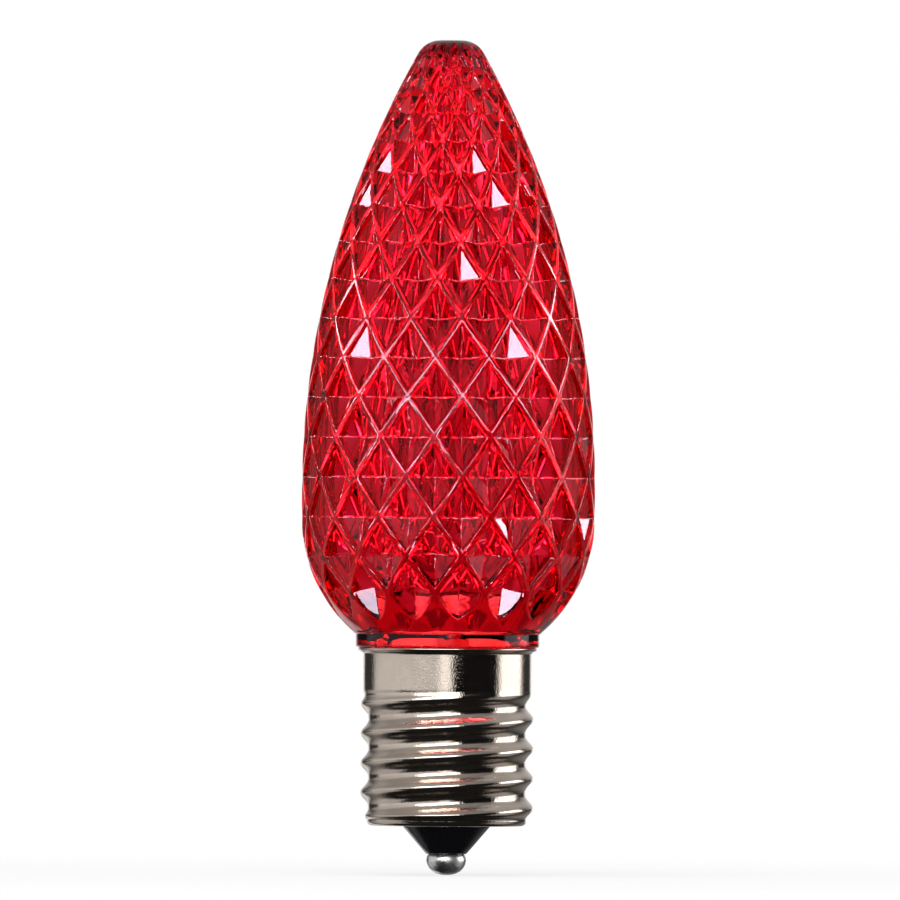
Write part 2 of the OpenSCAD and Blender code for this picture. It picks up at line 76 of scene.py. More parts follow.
# The outline is two arcs with the belt between them, and a rounded tip
BOWL_ARC = ((LENS_R - BOWL_R) ** 2 + BOWL_H ** 2) / (2 * (LENS_R - BOWL_R))
BOWL_ANGLE = math.asin(BOWL_H / BOWL_ARC)
TIP_RISE = CROWN_H - TIP_R
CROWN_ARC = ((TIP_RISE ** 2 + (LENS_R - TIP_FLAT_R) ** 2 - TIP_R ** 2)
             / (2 * (LENS_R - TIP_FLAT_R - TIP_R)))
CROWN_ANGLE = math.atan2(TIP_RISE, TIP_FLAT_R - LENS_R + CROWN_ARC)
BOWL_LEN = BOWL_ARC * BOWL_ANGLE
CROWN_LEN = CROWN_ARC * CROWN_ANGLE
TIP_LEN = TIP_R * (math.pi / 2 - CROWN_ANGLE)
OUTLINE_LEN = BOWL_LEN + BELT_H + CROWN_LEN + TIP_LEN

# Lattice of the lens
CELLS_AROUND = 16
HALF_CELL = math.pi / CELLS_AROUND
FIRST_ROW = 1.35
ROW_PITCH = 3.83
ROW_TAPER = 2.0
CAP_LEN = 0.5
PATTERN_TURN = math.radians(5.5)
BAND_W = 0.72
BAND_SHARE = 0.3          # share of a band's width that doesn't shrink with the cells
EDGE_ROUND = 0.16
EDGE_D = 0.38
EDGE_LEAN = 0.07
FOOT_LIMITS = (0.35, 1.6)  # range of the wall's depth, in shares of EDGE_D
CELL_D = 1.45
CREASE_W = 0.1            # half the rounded strip along a cell's creases
CREASE_START = 0.012      # share of a facet next to the wall that is shaded flat
SIDE_SHARES = (0, 0.04, 0.27, 0.5, 0.73, 0.96)
SIDE_STEPS = len(SIDE_SHARES)

# Exponents of the rings. 1 is a diamond and 2 a circle.
CELL_ROUND = 1.02
PETAL_LINE_ROUND = 1.6    # lower half of the lattice line in the first row
PETAL_ROUND = 1.5         # lower half of the cells in the first row
TIP_ROUND_LOW = 0.75      # how much rounder the lower half of a cell is near the tip
TIP_ROUND_HIGH = 0.55     # and its upper half
TIP_ROUND_FROM = 0.62     # share of LENS_R where the cells start to be rounder
TIP_ROUND_OVER = 0.45     # and the share over which they get all of it

# Snap ribs in the neck
RIB_COUNT = 6
RIB_W = 1.0
RIB_DEPTH = 0.4
RIB_H = 0.9
RIB_BLEND = 0.02          # angle over which a rib's side rises, in radians


def outline(s, depth=0.0):
    """Radius and height of the lens at the distance s up its outline, moved inwards by depth.

    The bowl is an arc whose centre lies at the belt's lower edge, the belt is straight, the
    crown is an arc that leaves the belt upright, and the tip is a small arc round to the top.
    """
    s = np.asarray(s, float)
    bowl = s / BOWL_ARC - BOWL_ANGLE
    crown = (s - BOWL_LEN - BELT_H) / CROWN_ARC
    tip = np.minimum(CROWN_ANGLE + (s - BOWL_LEN - BELT_H - CROWN_LEN) / TIP_R, math.pi / 2)
    choices = [s < BOWL_LEN, s < BOWL_LEN + BELT_H, s < BOWL_LEN + BELT_H + CROWN_LEN]
    r = np.select(choices, [
        LENS_R - BOWL_ARC + (BOWL_ARC - depth) * np.cos(bowl),
        LENS_R - depth + 0 * s,
        LENS_R - CROWN_ARC + (CROWN_ARC - depth) * np.cos(crown)],
        TIP_FLAT_R + (TIP_R - depth) * np.cos(tip))
    z = np.select(choices, [
        BELT_Z + (BOWL_ARC - depth) * np.sin(bowl),
        BELT_Z + s - BOWL_LEN,
        CROWN_Z + (CROWN_ARC - depth) * np.sin(crown)],
        TOP_Z - TIP_R + (TIP_R - depth) * np.sin(tip))
    return r, z


def turned(r, a, z):
    """Points at radius r, height z and the angle a, which runs from the front to the right."""
    r, a, z = np.broadcast_arrays(r, a, z)
    return np.stack([r * np.sin(a), -r * np.cos(a), z], axis=-1)


def shrink(s):
    """Share of full size that a cell has at s: it falls with the square of the missing radius."""
    return 1 - (1 - outline(s)[0] / LENS_R) ** ROW_TAPER


def lattice_rows():
    """Distances up the outline of the lattice lines, each a shrinking pitch above the last."""
    rows = [FIRST_ROW]
    while rows[-1] + ROW_PITCH * shrink(rows[-1]) < OUTLINE_LEN - CAP_LEN:
        rows.append(float(rows[-1] + ROW_PITCH * shrink(rows[-1])))
    return np.array(rows)


def ring_quads(rows, columns, start=0):
    """Quads between rows of points that each close on themselves, counter-clockwise."""
    r = np.arange(rows - 1)[:, None]
    c = np.arange(columns)[None, :]
    n = (c + 1) % columns
    quads = np.stack([r * columns + c, r * columns + n,
                      (r + 1) * columns + n, (r + 1) * columns + c], axis=-1)
    return quads.reshape(-1, 4) + start


def closing_quads(rows, columns):
    """Quads from the last row of points back to the first."""
    c = np.arange(columns)
    n, last = (c + 1) % columns, (rows - 1) * columns
    return np.stack([last + c, last + n, n, c], axis=-1)


def closing_fan(start, columns, centre):
    """Triangles from the row of points at start to the point centre."""
    c = np.arange(columns)
    return np.stack([start + c, start + (c + 1) % columns, np.full(columns, centre)], axis=-1)


def new_mesh(name, points, faces, smooth=True, merge=None):
    """A mesh object from points in millimetres and a list of faces, joined where points meet."""
    mesh = bpy.data.meshes.new(name)
    mesh.from_pydata((np.asarray(points) * MM).tolist(), [], [list(map(int, f)) for f in faces])
    shading = np.broadcast_to(smooth, len(faces))
    mesh.polygons.foreach_set("use_smooth", np.ascontiguousarray(shading))
    if merge:
        joined = bmesh.new()
        joined.from_mesh(mesh)
        bmesh.ops.remove_doubles(joined, verts=joined.verts, dist=merge * MM)
        joined.to_mesh(mesh)
        joined.free()
    mesh.validate()
    mesh.update()
    obj = bpy.data.objects.new(name, mesh)
    bpy.context.scene.collection.objects.link(obj)
    return obj


def revolve(name, profile, sides, sharp):
    """A solid turned from an outline of (radius, height) points, which runs up its outside. It
    starts and ends on the axis, or closes on itself. Edges over sharp degrees stay sharp."""
    profile = np.array(profile, float)
    a = np.arange(sides) * 2 * math.pi / sides
    points = turned(profile[:, 0][:, None], a[None, :], profile[:, 1][:, None]).reshape(-1, 3)
    quads = ring_quads(len(profile), sides)
    if profile[0, 0] > 0:
        quads = np.vstack([quads, closing_quads(len(profile), sides)])
    obj = new_mesh(name, points, quads, merge=1e-4)
    obj.data.set_sharp_from_angle(angle=math.radians(sharp))
    return obj


def arc(centre, radius, start, end, steps):
    """Points of a round stretch of a profile, from one angle to another in degrees."""
    a = np.radians(np.linspace(start, end, steps + 1))
    return [(centre[0] + radius * math.cos(t), centre[1] + radius * math.sin(t)) for t in a]


def build_lens():
    """The lens: every cell is a set of rings, and the bowl, cap and inside close the wall.

    A cell's ring is the diamond |x| + |y| = 1 in lattice units, or |x|^n + |y|^n = 1 where the
    real cells are rounder, scaled by q = 1 - d / inradius for a stand-off d. The rings are the
    lattice line, the edge of the flat band, its rounding and the foot of the steep wall, whose
    depth puts each side of the foot in the flat plane through two corners and the apex. Each
    facet is a fan round the point at the distance w from both of its creases, apex +
    (u + v) w / sin(angle of u, v), and the strips along the creases are shaded round.
    """
    rows = lattice_rows()
    last = len(rows) - 2
    k = np.repeat(np.arange(1, last + 1), CELLS_AROUND)
    j = np.tile(np.arange(CELLS_AROUND), last)
    centre_s = rows[k]
    centre_a = PATTERN_TURN + HALF_CELL * (2 * j + (k % 2 == 0))
    centre_r = outline(centre_s)[0]
    size = shrink(centre_s)
    above = rows[k + 1] - centre_s
    below = centre_s - rows[k - 1]
    half = centre_r * HALF_CELL
    height = (above + below) / 2
    inradius = half * height / np.hypot(half, height)

    f = np.array(SIDE_SHARES)
    corners = np.array([[0, -1], [1, 0], [0, 1], [-1, 0]], float)
    unit = np.concatenate([corners[i] + f[:, None] * (corners[(i + 1) % 4] - corners[i])
                           for i in range(4)])
    around = len(unit)

    def ring(n_low, n_high, stand_off):
        """Ring of every cell: distance up the outline and angle, as cells by ring points."""
        x, y = np.abs(unit[:, 0]), np.abs(unit[:, 1])
        n = np.where(unit[:, 1][None, :] < -1e-9, n_low[:, None], n_high[:, None])
        grow = 1 / (x[None, :] ** n + y[None, :] ** n) ** (1 / n)
        q = (1 - stand_off / inradius)[:, None] * grow
        span = np.where(unit[:, 1] > 0, above[:, None], below[:, None])
        s = centre_s[:, None] + unit[:, 1] * q * span
        a = centre_a[:, None] + unit[:, 0] * q * HALF_CELL
        return s, a

    def place(s, a, depth=0.0):
        r, z = outline(s, depth)
        return turned(r, a, z)

    tile_low = np.where(k == 1, PETAL_LINE_ROUND, 1.0)
    tile_high = np.ones(len(k))
    tip_round = np.clip((TIP_ROUND_FROM - centre_r / LENS_R) / TIP_ROUND_OVER, 0, 1)
    cell_low = np.where(k == 1, PETAL_ROUND, CELL_ROUND + TIP_ROUND_LOW * tip_round)
    cell_high = CELL_ROUND + TIP_ROUND_HIGH * tip_round
    band = BAND_W / 2 * (BAND_SHARE + (1 - BAND_SHARE) * size)
    rounding = EDGE_ROUND * size

    # Rings from the lattice line down to the foot of the wall
    line_s, line_a = ring(tile_low, tile_high, 0 * band)
    levels = [place(line_s, line_a)]
    for out, down in ((1.0, 0.0), (0.45, 0.14), (0.12, 0.5)):
        s, a = ring(cell_low, cell_high, band - rounding * out)
        levels.append(place(s, a, (rounding * down)[:, None]))
    foot_s, foot_a = ring(cell_low, cell_high, band + EDGE_LEAN * size)
    edge = np.broadcast_to((EDGE_D * size)[:, None], foot_s.shape)
    foot = place(foot_s, foot_a, edge)
    apex = place(centre_s, centre_a, CELL_D * size)
    out_point = place(foot_s, foot_a)
    inward = place(foot_s, foot_a, np.ones_like(foot_s)) - out_point
    side = np.repeat(np.arange(4), SIDE_STEPS)
    corner_a = foot[:, side * SIDE_STEPS]
    corner_b = foot[:, ((side + 1) % 4) * SIDE_STEPS]
    normal = np.cross(corner_a - apex[:, None], corner_b - apex[:, None])
    depth = (np.sum((apex[:, None] - out_point) * normal, -1)
             / np.sum(inward * normal, -1))
    depth = np.clip(depth, FOOT_LIMITS[0] * edge, FOOT_LIMITS[1] * edge)
    levels.append(out_point + inward * depth[..., None])
    levels.append(levels[-1] + (apex[:, None] - levels[-1]) * CREASE_START)
    levels = np.stack(levels, axis=1)

    # Middle point of each facet, where its two crease strips meet
    ends = levels[:, -1, ::SIDE_STEPS] - apex[:, None]
    reach = np.linalg.norm(ends, axis=-1, keepdims=True)
    u, v = ends / reach, np.roll(ends / reach, -1, axis=1)
    sine = np.linalg.norm(np.cross(u, v), axis=-1, keepdims=True)
    strip = CREASE_W * size[:, None, None] / sine
    middle = apex[:, None] + (u + v) * strip

    cells, deep = len(k), levels.shape[1]
    points = [levels.reshape(-1, 3), apex, middle.reshape(-1, 3)]
    base = (np.arange(cells) * deep * around)[:, None, None]
    rings = (ring_quads(deep, around)[None] + base).reshape(-1, 4).tolist()
    inner = base[:, :, 0] + (deep - 1) * around
    apex_at = cells * deep * around + np.arange(cells)[:, None]
    fans, strips = [], []
    for side in range(4):
        middle_at = cells * deep * around + cells + 4 * np.arange(cells)[:, None] + side
        before_at = middle_at - 1 + 4 * (side == 0)
        corner = side * SIDE_STEPS
        for step in range(1, SIDE_STEPS - 1):
            fans.append([inner + corner + step, inner + corner + step + 1, middle_at])
        strips.append([inner + corner, inner + corner + 1, middle_at, apex_at])
        strips.append([inner + (corner - 1) % around, inner + corner, apex_at, before_at])
    fans = np.concatenate([np.hstack(f) for f in fans])
    strips = np.concatenate([np.hstack(f) for f in strips])
    level_of_quad = np.tile(np.arange(deep - 1), (cells, 1)).repeat(around, axis=1).ravel()
    faces = rings + fans.tolist() + strips.tolist()
    smooth = (level_of_quad != deep - 2).tolist() + [True] * (len(fans) + len(strips))
    count = sum(len(part) for part in points)

    # Lower rim of the lattice, from the front round to the right, and the upper rim
    order = np.arange(-SIDE_STEPS, SIDE_STEPS) % around
    rim_s = line_s[:CELLS_AROUND][:, order].ravel()
    rim_a = line_a[:CELLS_AROUND][:, order].ravel()
    order = (3 * SIDE_STEPS - np.arange(2 * SIDE_STEPS)) % around
    top_s = line_s[-CELLS_AROUND:][:, order].ravel()
    top_a = line_a[-CELLS_AROUND:][:, order].ravel()
    columns = len(rim_a)

    # Bowl below the lattice, then collar, neck, ledge, snap ribs and the inside up to the tip
    share = np.array([1, 0.8, 0.6, 0.4, 0.2, 0.0])
    r, z = outline(share[:, None] * rim_s[None, :])
    bowl = turned(r, rim_a[None, :], z)
    step = BOWL_R - COLLAR_R
    profile = arc((COLLAR_R + step / 2, BOWL_Z), step / 2, -20, -160, 3)
    profile += [(COLLAR_R, BOWL_Z - step), (COLLAR_R, COLLAR_Z + 0.25)]
    profile += arc((COLLAR_R - 0.2, COLLAR_Z + 0.2), 0.2, -10, -90, 3)
    profile += [(NECK_R + 0.15, COLLAR_Z), (NECK_R, COLLAR_Z - 0.15), (NECK_R, NECK_Z + 0.2),
                (NECK_R - 0.2, NECK_Z), (LEDGE_R + 0.1, NECK_Z), (LEDGE_R, NECK_Z + 0.1),
                (LEDGE_R, LEDGE_Z), (NECK_BORE_R, LEDGE_Z), (NECK_BORE_R, COLLAR_Z),
                (NECK_BORE_R, COLLAR_Z + 0.02), (NECK_BORE_R, COLLAR_Z + RIB_H),
                (NECK_BORE_R + 0.05, COLLAR_Z + RIB_H + 0.02)]
    ribbed = (len(profile) - 3, len(profile) - 2)
    inside_start, inside_steps = 1.2, 54
    r, z = outline(np.linspace(inside_start, OUTLINE_LEN, inside_steps), LENS_WALL)
    profile += list(zip(r, z))
    profile = np.array(profile)
    radius = np.repeat(profile[:, 0][:, None], columns, 1)
    rib_turn = (rim_a - PATTERN_TURN) % (2 * math.pi / RIB_COUNT)
    rib_turn = np.minimum(rib_turn, 2 * math.pi / RIB_COUNT - rib_turn)
    rib = np.clip((RIB_W / 2 / NECK_BORE_R - rib_turn) / RIB_BLEND + 0.5, 0, 1)
    for row in ribbed:
        radius[row] -= RIB_DEPTH * rib
    inside = turned(radius, rim_a[None, :], profile[:, 1][:, None])
    lower = np.concatenate([bowl, inside])
    points.append(lower.reshape(-1, 3))
    quads = ring_quads(len(lower), columns, count)[:, ::-1]
    faces += quads.tolist()
    smooth += [True] * len(quads)
    count += lower.size // 3
    inner_last = count - columns

    # Cap above the lattice, closed at the pole by a flat disc
    share = np.array([0, 0.35, 0.7, 1.0])
    r, z = outline(top_s[None, :] + share[:, None] * (OUTLINE_LEN - top_s[None, :]))
    cap = turned(r, top_a[None, :], z)
    pole_r = np.array([0.75, 0.45, 0.2]) * TIP_FLAT_R
    pole = turned(pole_r[:, None], top_a[None, :], np.full((3, 1), TOP_Z))
    cap = np.concatenate([cap, pole])
    points.append(cap.reshape(-1, 3))
    quads = ring_quads(len(cap), columns, count)
    faces += quads.tolist()
    smooth += [True] * len(quads)
    count += cap.size // 3
    for start, height, way in ((count - columns, TOP_Z, 1), (inner_last, profile[-1, 1], -1)):
        points.append(np.array([[0, 0, height]]))
        faces += closing_fan(start, columns, count)[:, ::way].tolist()
        smooth += [True] * columns
        count += 1
    return new_mesh("faceted_lens", np.concatenate(points), faces, np.array(smooth), merge=1e-3)


lens = build_lens()

# Heights and radii of the screw shell, in millimetres
SHELL_Z = shell_low.z / MM
FOOT_H = 0.55
THREAD_Z = SHELL_Z + FOOT_H
SKIRT_Z = THREAD_Z + 12.45
LIP_Z = SKIRT_Z + 3.55
SKIRT_R = 8.03
LIP_R = 8.55
THROAT_R = 8.0
THROAT_ROUND = 0.32
RIM_ROUND = 0.12
FLARE_H = 0.34
CREST_R = 8.24
ROOT_R = 7.52
FOOT_R = ROOT_R + 0.1
FOOT_HOLE_R = 4.3
FOOT_ROUND = 0.5
SHEET_T = 0.35
PITCH = 2.822
CREST_Z = 1.7
CREST_POWER = 1.5
FADE_H = 1.6
RUN_OUT_H = 0.5


def smooth_step(t):
    """0 below 0, 1 above 1, and 3 t^2 - 2 t^3 between."""
    t = np.clip(t, 0, 1)
    return t * t * (3 - 2 * t)


def thread_radius(a, z):
    """Rolled thread: a raised cosine to a power along the pitch, which climbs with the angle,
    and which fades into the plain skirt above it and the foot below it."""
    phase = 2 * math.pi * (z - SHELL_Z - CREST_Z) / PITCH - (a - math.pi / 2)
    wave = ROOT_R + (CREST_R - ROOT_R) * ((1 + np.cos(phase)) / 2) ** CREST_POWER
    up = smooth_step((z - SKIRT_Z + FADE_H) / FADE_H)
    down = smooth_step((THREAD_Z + RUN_OUT_H - z) / RUN_OUT_H)
    return (wave * (1 - up) + SKIRT_R * up) * (1 - down) + FOOT_R * down


def build_shell():
    """The pressed shell: one outline of (radius, height) round the sheet, outside and inside,
    turned about the axis, with the thread's radius in place of the outline's along the thread."""
    sides, thread_steps = 192, 121
    a = np.arange(sides) * 2 * math.pi / sides
    thread = np.linspace(THREAD_Z, SKIRT_Z, thread_steps)
    centre = (FOOT_R - FOOT_ROUND, SHELL_Z + FOOT_ROUND)
    outside = [(FOOT_HOLE_R, SHELL_Z + 0.12), (FOOT_HOLE_R + 0.04, SHELL_Z + 0.04),
               (FOOT_HOLE_R + 0.12, SHELL_Z), (5.6, SHELL_Z)]
    outside += arc(centre, FOOT_ROUND, -90, 0, 10)
    skirt = [(SKIRT_R, z) for z in np.linspace(SKIRT_Z + 0.1, LIP_Z - 0.25, 8)]
    flare = [(SKIRT_R + (LIP_R - 0.03 - SKIRT_R) * t ** 2.2, LIP_Z - 0.2 + FLARE_H * t)
             for t in np.linspace(0, 1, 9)]
    rim = arc((LIP_R - RIM_ROUND, COLLAR_Z - 0.16), RIM_ROUND, -40, 60, 4)
    rim += [(LIP_R - 0.14, COLLAR_Z - 0.015), (LIP_R - 0.22, COLLAR_Z), (THROAT_R, COLLAR_Z)]
    throat = arc((THROAT_R, COLLAR_Z - THROAT_ROUND), THROAT_ROUND, 90, 180, 5)[1:]
    inner_skirt = [(SKIRT_R - SHEET_T, z) for z in np.linspace(LIP_Z - 0.1, SKIRT_Z + 0.1, 4)]
    inner_thread = thread[::-3]
    inner_foot = arc(centre, FOOT_ROUND - SHEET_T, 0, -90, 4)
    inner_foot += [(FOOT_HOLE_R + 0.1, SHELL_Z + SHEET_T), (FOOT_HOLE_R, SHELL_Z + SHEET_T - 0.1)]

    def plain(outline_points):
        r, z = np.array(outline_points, float).T
        return np.repeat(r[:, None], sides, 1), np.repeat(z[:, None], sides, 1)

    def wave(heights, inwards):
        z = np.repeat(heights[:, None], sides, 1)
        return thread_radius(a[None, :], z) - inwards, z

    parts = [plain(outside), wave(thread, 0.0), plain(skirt + flare + rim + throat),
             plain(inner_skirt), wave(inner_thread, SHEET_T), plain(inner_foot)]
    r = np.concatenate([p[0] for p in parts])
    z = np.concatenate([p[1] for p in parts])
    points = turned(r, a[None, :], z).reshape(-1, 3)
    quads = np.vstack([ring_quads(len(r), sides), closing_quads(len(r), sides)])
    return new_mesh("pressed_shell", points, quads, merge=1e-4)


shell = build_shell()

# Black cone and its plug, and the solder dome with its stem: (radius, height) in millimetres
insulator = revolve("cone_insulator", [
    (0.9, 2.0), (1.85, 2.0), (1.95, 2.06), (2.62, 2.82), (3.4, 3.74), (4.02, 4.45), (4.14, 4.6),
    (4.2, 4.72), (4.2, 5.05), (6.75, 5.05), (7.15, 5.45), (7.15, 6.25), (6.75, 6.65),
    (0.9, 6.65)], sides=128, sharp=35)
tip = revolve("solder_contact", [
    (0.0, 0.0), (0.5, 0.03), (0.95, 0.15), (1.35, 0.37), (1.65, 0.68), (1.83, 1.02),
    (1.9, 1.38), (1.87, 1.66), (1.78, 1.88), (1.66, 2.0), (1.6, 2.0), (1.6, 1.8), (0.7, 1.8),
    (0.7, 2.5), (0.0, 2.5)], sides=96, sharp=50)


def new_group(name, inputs, outputs):
    """An empty shader node group with named float or vector sockets."""
    group = bpy.data.node_groups.new(name, "ShaderNodeTree")
    kinds = {"value": "NodeSocketFloat", "vector": "NodeSocketVector"}
    for label, kind, default in inputs:
        socket = group.interface.new_socket(label, in_out="INPUT", socket_type=kinds[kind])
        socket.default_value = default
    for label, kind in outputs:
        group.interface.new_socket(label, in_out="OUTPUT", socket_type=kinds[kind])
    return group, group.nodes.new("NodeGroupInput"), group.nodes.new("NodeGroupOutput")


def add(tree, kind, links=None, **settings):
    """A node with its settings and inputs; an input is a socket to link or a plain value."""
    node = tree.nodes.new("ShaderNode" + kind)
    for key, value in settings.items():
        setattr(node, key, value)
    for key, value in (links or {}).items():
        if isinstance(value, bpy.types.NodeSocket):
            tree.links.new(value, node.inputs[key])
        else:
            node.inputs[key].default_value = value
    return node


def mask(tree, value, start, end, kind="SMOOTHSTEP"):
    """0 where the value is at its start, 1 where it is at its end, and a ramp between."""
    node = add(tree, "MapRange", {"Value": value, "From Min": start, "From Max": end},
               interpolation_type=kind)
    return node.outputs["Result"]


def combine(tree, operation, first, second):
    """The result of a Math node on two values."""
    return add(tree, "Math", {0: first, 1: second}, operation=operation).outputs["Value"]


def grain_group():
    """Fine noise on Object coordinates: a height about 0.5, and a mask of its highest spots."""
    group, start, end = new_group(
        "grain", [("Vector", "vector", (0, 0, 0)), ("Scale", "value", 4000),
                  ("Detail", "value", 3), ("Cut", "value", 0.6), ("Soft", "value", 0.1)],
        [("Height", "value"), ("Spots", "value")])
    noise = add(group, "TexNoise", {"Vector": start.outputs["Vector"],
                                    "Scale": start.outputs["Scale"],
                                    "Detail": start.outputs["Detail"], "Roughness": 0.6})
    edge = combine(group, "ADD", start.outputs["Cut"], start.outputs["Soft"])
    spots = mask(group, noise.outputs["Fac"], start.outputs["Cut"], edge, "LINEAR")
    group.links.new(noise.outputs["Fac"], end.inputs["Height"])
    group.links.new(spots, end.inputs["Spots"])
    return group


def film_group():
    """Slow smudges that vary gloss: a mask between two values, from a low-frequency noise."""
    group, start, end = new_group(
        "film", [("Vector", "vector", (0, 0, 0)), ("Scale", "value", 150),
                 ("Low", "value", 0.1), ("High", "value", 0.2)],
        [("Value", "value"), ("Mask", "value")])
    noise = add(group, "TexNoise", {"Vector": start.outputs["Vector"],
                                    "Scale": start.outputs["Scale"],
                                    "Detail": 4.0, "Roughness": 0.55})
    smudges = mask(group, noise.outputs["Fac"], 0.35, 0.68)
    value = add(group, "MapRange", {"Value": smudges, "To Min": start.outputs["Low"],
                                    "To Max": start.outputs["High"]})
    group.links.new(value.outputs["Result"], end.inputs["Value"])
    group.links.new(smudges, end.inputs["Mask"])
    return group


GRAIN = grain_group()
FILM = film_group()


def new_material(name, colour, **values):
    """A material with a Principled shader: the tree, the shader and the Object coordinates."""
    material = bpy.data.materials.new(name)
    material.use_nodes = True
    tree = material.node_tree
    shader = tree.nodes["Principled BSDF"]
    shader.inputs["Base Color"].default_value = (*colour, 1)
    for key, value in values.items():
        shader.inputs[key.replace("_", " ")].default_value = value
    place = add(tree, "TexCoord").outputs["Object"]
    return material, tree, shader, place


def grain(tree, place, scale, stretch=(1, 1, 1), detail=3.0, cut=0.6, soft=0.1):
    """The grain group on coordinates stretched along an axis."""
    mapping = add(tree, "Mapping", {"Vector": place, "Scale": stretch})
    node = add(tree, "Group", node_tree=GRAIN)
    tree.links.new(mapping.outputs["Vector"], node.inputs["Vector"])
    for key, value in (("Scale", scale), ("Detail", detail), ("Cut", cut), ("Soft", soft)):
        node.inputs[key].default_value = value
    return node


def film(tree, place, scale, low=0.0, high=1.0):
    """The film group, whose Value runs from low to high."""
    node = add(tree, "Group", node_tree=FILM)
    tree.links.new(place, node.inputs["Vector"])
    for key, value in (("Scale", scale), ("Low", low), ("High", high)):
        node.inputs[key].default_value = value
    return node


def bump(tree, shader, height, strength, distance, normal=None):
    """A Bump node into the shader's normal, over another one if it is given."""
    links = {"Height": height, "Strength": strength, "Distance": distance}
    if normal:
        links["Normal"] = normal
    node = add(tree, "Bump", links)
    tree.links.new(node.outputs["Normal"], shader.inputs["Normal"])
    return node.outputs["Normal"]


def mix_colour(tree, factor, first, second):
    """The colour between first and second by a factor. Each is a socket or a colour."""
    node = add(tree, "Mix", data_type="RGBA")
    factor_in, first_in, second_in = node.inputs[0], node.inputs[6], node.inputs[7]
    tree.links.new(factor, factor_in)
    for socket, value in ((first_in, first), (second_in, second)):
        if isinstance(value, bpy.types.NodeSocket):
            tree.links.new(value, socket)
        else:
            socket.default_value = (*value, 1)
    return node.outputs[2]


def ramp(tree, factor, stops):
    """A colour ramp of (position, colour) stops."""
    node = add(tree, "ValToRGB", {"Fac": factor})
    elements = node.color_ramp.elements
    elements.remove(elements[1])
    elements[0].position, elements[0].color = stops[0][0], (*stops[0][1], 1)
    for position, colour in stops[1:]:
        elements.new(position).color = (*colour, 1)
    return node.outputs["Color"]


def mottled(tree, place, scale, first, second):
    """A colour that drifts between two in smudges."""
    return mix_colour(tree, film(tree, place, scale).outputs["Mask"], first, second)


def vary_gloss(tree, shader, place, scale, low, high):
    """Smudges in the shader's roughness, from low to high."""
    smudges = film(tree, place, scale, low, high)
    tree.links.new(smudges.outputs["Value"], shader.inputs["Roughness"])


def red_plastic():
    """Clear red polycarbonate: a dyed body that deepens with its thickness, with a paler orange
    tint in the neck as painted glow, and faint flow marks and tool marks on its surface."""
    material, tree, shader, place = new_material(
        "red_polycarbonate", (0.81, 0.22, 0.31), Transmission_Weight=1.0, IOR=1.54,
        Roughness=0.03, Specular_Tint=(0.48, 0.4, 0.5, 1))
    # Painted glow: below the bowl the tint is paler and more orange, in place of the light that
    # shines through the collar
    neck_glow_colour, neck_glow_from, neck_glow_to = (1.0, 0.32, 0.3), 23.3 * MM, 23.1 * MM
    colour = mottled(tree, place, 90, (0.85, 0.23, 0.32), (0.78, 0.18, 0.28))
    height = add(tree, "SeparateXYZ", {0: place}).outputs["Z"]
    neck = mask(tree, height, neck_glow_from, neck_glow_to, "LINEAR")
    colour = mix_colour(tree, neck, colour, neck_glow_colour)
    tree.links.new(colour, shader.inputs["Base Color"])
    dye = add(tree, "VolumeAbsorption", {"Color": (0.96, 0.2, 0.4, 1), "Density": 1000.0})
    tree.links.new(dye.outputs["Volume"], tree.nodes["Material Output"].inputs["Volume"])
    vary_gloss(tree, shader, place, 900, 0.0, 0.035)
    marks = grain(tree, place, 700, stretch=(1, 1, 0.35), detail=4.0)
    bump(tree, shader, marks.outputs["Height"], strength=0.008, distance=0.0002)
    return material


def nickel():
    """Nickel plate over a rolled sheet: a warm grey mirror with a fine upright grain over a
    finer unevenness."""
    material, tree, shader, place = new_material(
        "nickel_plate", (0.74, 0.64, 0.55), Metallic=1.0, Roughness=0.16)
    colour = mottled(tree, place, 260, (0.76, 0.66, 0.57), (0.68, 0.58, 0.5))
    tree.links.new(colour, shader.inputs["Base Color"])
    vary_gloss(tree, shader, place, 500, 0.05, 0.1)
    brush = grain(tree, place, 2600, stretch=(1, 1, 0.3), detail=2.0)
    rolled = bump(tree, shader, brush.outputs["Height"], strength=0.2, distance=0.00004)
    peel = grain(tree, place, 8000, stretch=(1, 1, 0.7), detail=1.0)
    bump(tree, shader, peel.outputs["Height"], strength=0.5, distance=0.000022, normal=rolled)
    return material


def black_plastic():
    """Glossy black insulator, with a trace of dust and mould texture."""
    material, tree, shader, place = new_material(
        "glossy_black", (0.003, 0.003, 0.004), Roughness=0.1, Specular_IOR_Level=0.8)
    vary_gloss(tree, shader, place, 700, 0.06, 0.16)
    ripple = grain(tree, place, 900, stretch=(1, 1, 3), detail=2.0)
    bump(tree, shader, ripple.outputs["Height"], strength=0.3, distance=0.0001)
    return material


def soft_solder():
    """Tin solder: satin grey metal with frosty crystals and a few pits."""
    material, tree, shader, place = new_material(
        "tin_solder", (0.62, 0.61, 0.6), Metallic=1.0, Roughness=0.25)
    frost = grain(tree, place, 1500, cut=0.52, soft=0.16)
    colour = mix_colour(tree, frost.outputs["Spots"], (0.86, 0.85, 0.84), (0.66, 0.65, 0.64))
    tree.links.new(colour, shader.inputs["Base Color"])
    vary_gloss(tree, shader, place, 700, 0.16, 0.42)
    bump(tree, shader, frost.outputs["Height"], strength=0.35, distance=0.00012)
    return material


def moulded(name, dark, light, roughness, **values):
    """An opaque moulded or lacquered finish whose colour and gloss vary a little."""
    material, tree, shader, place = new_material(name, dark, Roughness=roughness, **values)
    colour = mottled(tree, place, 350, dark, light)
    tree.links.new(colour, shader.inputs["Base Color"])
    vary_gloss(tree, shader, place, 800, roughness * 0.7, roughness * 1.3)
    specks = grain(tree, place, 2500)
    bump(tree, shader, specks.outputs["Height"], strength=0.3, distance=0.00005)
    return material


